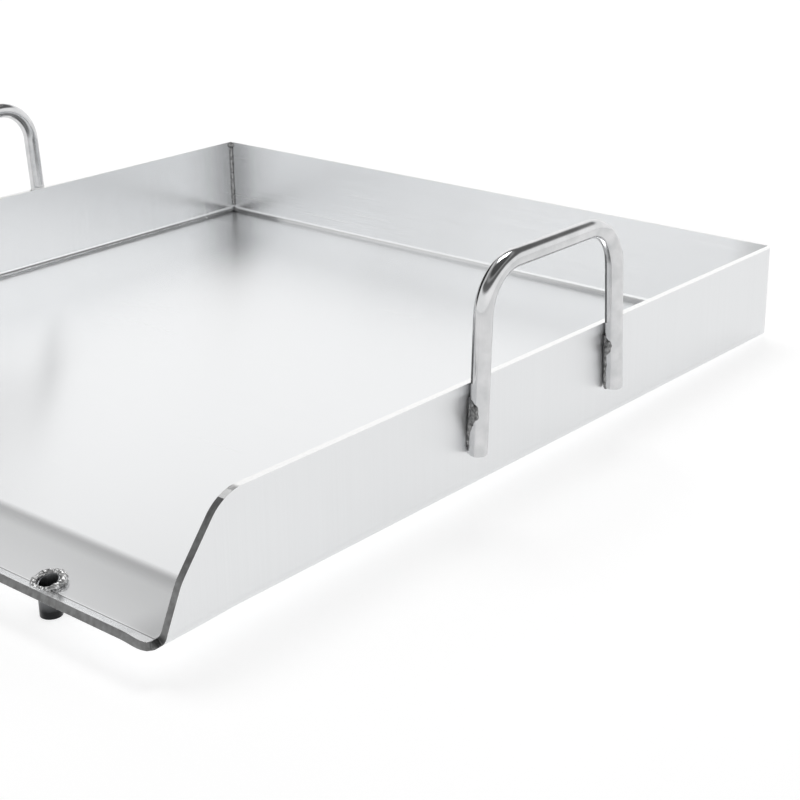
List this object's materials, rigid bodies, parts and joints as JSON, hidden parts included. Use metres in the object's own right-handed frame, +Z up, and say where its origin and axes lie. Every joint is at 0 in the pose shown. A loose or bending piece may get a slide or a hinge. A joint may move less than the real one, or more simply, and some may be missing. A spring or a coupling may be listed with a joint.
{
  "type": "griddle plate",
  "caption": "Welded stainless griddle plate with folded side and rear walls, a falling front gutter, a drain tube and two bent-rod lifting handles.",
  "frame": {"origin": "middle of the flat underside of the cooking floor", "axes": "+Z up, +Y from the front lip to the rear wall, +X to the right when facing the gutter"},
  "size_m": [0.5126, 0.53, 0.138],
  "materials": {
    "brushed_sheet": "long-grain brushed stainless sheet",
    "tube_steel": "mill-finish stainless tube, heat-darkened",
    "polished_rod": "polished stainless rod with fine draw lines",
    "weld_metal": "rippled weld bead, heat-darkened at its edge"
  },
  "bodies": {
    "root": {"griddle_pan": "brushed_sheet", "drain_tube": "tube_steel", "drain_weld": "weld_metal", "right_handle": "polished_rod", "left_handle": "polished_rod", "rear_right_corner_weld": "weld_metal", "rear_left_corner_weld": "weld_metal", "right_front_leg_front_weld": "weld_metal", "right_front_leg_rear_weld": "weld_metal", "right_rear_leg_front_weld": "weld_metal", "right_rear_leg_rear_weld": "weld_metal", "left_front_leg_front_weld": "weld_metal", "left_front_leg_rear_weld": "weld_metal", "left_rear_leg_front_weld": "weld_metal", "left_rear_leg_rear_weld": "weld_metal"}
  },
  "joints": []
}
